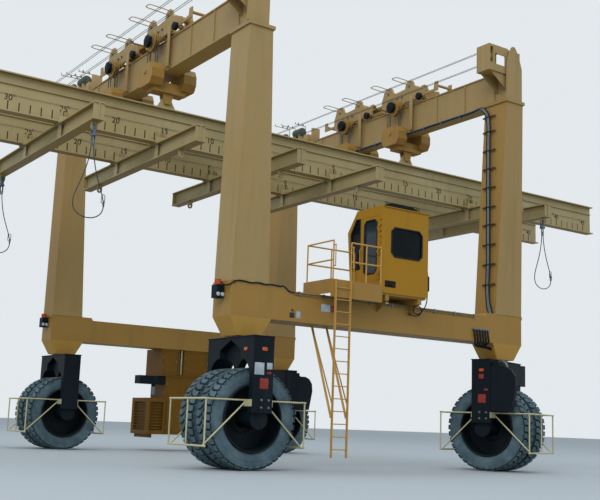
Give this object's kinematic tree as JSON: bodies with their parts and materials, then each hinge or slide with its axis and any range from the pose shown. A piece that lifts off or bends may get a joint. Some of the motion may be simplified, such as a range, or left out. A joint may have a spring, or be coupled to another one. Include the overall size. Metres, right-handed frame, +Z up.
{
  "type": "rubber-tyred mobile gantry crane",
  "caption": "Tall portal crane on turning twin-tyred wheel sets, with trolleys on its upper girders and a long twin-beam lifting spreader.",
  "frame": {"origin": "on the ground, midway between the four steering axes", "axes": "+X along the side frames and the spreader's beams, +Y across the portal away from the cab, +Z up"},
  "size_m": [28.3, 14.4506, 12.7798],
  "materials": {
    "pale_paint": "satin",
    "deep_paint": "satin",
    "black_paint": "satin",
    "guard_paint": "satin",
    "tyre_rubber": "matte",
    "cab_glass": "gloss",
    "black_trim": "matte",
    "wire_rope": "satin"
  },
  "bodies": {
    "frame": {"sill_near": "deep_paint", "sill_far": "deep_paint", "pivot_heads_near": "deep_paint", "pivot_heads_far": "deep_paint", "leg_near_left": "pale_paint", "leg_near_right": "pale_paint", "leg_far_left": "pale_paint", "leg_far_right": "pale_paint", "girder_left": "pale_paint", "girder_right": "pale_paint", "rope_head_left": "pale_paint", "rope_head_right": "pale_paint", "winch_left": "pale_paint", "winch_right": "pale_paint", "power_pack": "deep_paint", "fuel_tank": "black_paint", "cab_shell": "deep_paint", "cab_glass": "cab_glass", "cab_seat": "black_trim", "cab_console": "black_trim", "cab_aircon": "black_paint", "platform": "deep_paint", "handrail": "guard_paint", "ladder": "guard_paint", "corner_lamps": "black_paint"},
    "cab_door": {"cab_door": "deep_paint"},
    "fork_near_left": {"fork_near_left": "black_paint", "guards_near_left": "guard_paint"},
    "wheels_near_left": {"rims_near_left": "black_paint", "tyres_near_left": "tyre_rubber"},
    "fork_near_right": {"fork_near_right": "black_paint", "guards_near_right": "guard_paint"},
    "wheels_near_right": {"rims_near_right": "black_paint", "tyres_near_right": "tyre_rubber"},
    "fork_far_left": {"fork_far_left": "black_paint", "guards_far_left": "guard_paint"},
    "wheels_far_left": {"rims_far_left": "black_paint", "tyres_far_left": "tyre_rubber"},
    "fork_far_right": {"fork_far_right": "black_paint", "guards_far_right": "guard_paint"},
    "wheels_far_right": {"rims_far_right": "black_paint", "tyres_far_right": "tyre_rubber"},
    "trolley_left": {"trolley_left": "pale_paint", "sheaves_left": "deep_paint", "falls_left": "wire_rope"},
    "trolley_right": {"trolley_right": "pale_paint", "sheaves_right": "deep_paint", "falls_right": "wire_rope"},
    "hoist_left": {"blocks_left": "deep_paint", "spreader_beams": "pale_paint", "cross_beams": "deep_paint", "sling_hooks": "deep_paint", "sling_near_left": "wire_rope", "sling_near_right": "wire_rope", "sling_far_left": "wire_rope"},
    "hoist_right": {"blocks_right": "deep_paint"}
  },
  "joints": [
    {"name": "steer_near_left", "type": "hinge", "parent": "frame", "child": "fork_near_left", "pos_m": [-4.36, -5.88, 3.11], "axis": [0, 0, 1], "range_deg": [-90, 90]},
    {"name": "roll_near_left", "type": "hinge", "parent": "fork_near_left", "child": "wheels_near_left", "pos_m": [-4.36, -5.88, 1.19], "axis": [0, 1, 0], "continuous": true},
    {"name": "steer_near_right", "type": "hinge", "parent": "frame", "child": "fork_near_right", "pos_m": [4.36, -5.88, 3.11], "axis": [0, 0, 1], "range_deg": [-20, 160]},
    {"name": "roll_near_right", "type": "hinge", "parent": "fork_near_right", "child": "wheels_near_right", "pos_m": [4.36, -5.88, 1.19], "axis": [0.9397, 0.342, 0], "continuous": true},
    {"name": "steer_far_left", "type": "hinge", "parent": "frame", "child": "fork_far_left", "pos_m": [-4.36, 5.88, 3.11], "axis": [0, 0, 1], "range_deg": [-90, 90]},
    {"name": "roll_far_left", "type": "hinge", "parent": "fork_far_left", "child": "wheels_far_left", "pos_m": [-4.36, 5.88, 1.19], "axis": [0, 1, 0], "continuous": true},
    {"name": "steer_far_right", "type": "hinge", "parent": "frame", "child": "fork_far_right", "pos_m": [4.36, 5.88, 3.11], "axis": [0, 0, 1], "range_deg": [-90, 90]},
    {"name": "roll_far_right", "type": "hinge", "parent": "fork_far_right", "child": "wheels_far_right", "pos_m": [4.36, 5.88, 1.19], "axis": [0, 1, 0], "continuous": true},
    {"name": "travel_left", "type": "slide", "parent": "frame", "child": "trolley_left", "axis": [0, 1, 0], "range_m": [-0.95, 0.95]},
    {"name": "travel_right", "type": "slide", "parent": "frame", "child": "trolley_right", "axis": [0, 1, 0], "range_m": [-0.95, 0.95]},
    {"name": "hoist_left", "type": "slide", "parent": "trolley_left", "child": "hoist_left", "axis": [0, 0, 1], "range_m": [-4.7, 0.1], "deforming": ["falls_left"]},
    {"name": "hoist_right", "type": "slide", "parent": "trolley_right", "child": "hoist_right", "axis": [0, 0, 1], "range_m": [-4.7, 0.1], "deforming": ["falls_right"]},
    {"name": "cab_door_hinge", "type": "hinge", "parent": "frame", "child": "cab_door", "pos_m": [-0.772, -6.63, 5.5], "axis": [0, 0, 1], "range_deg": [0, 95]}
  ],
  "couplings": [
    {"joint": "travel_right", "follows": "travel_left", "ratio": 1},
    {"joint": "hoist_right", "follows": "hoist_left", "ratio": 1}
  ]
}
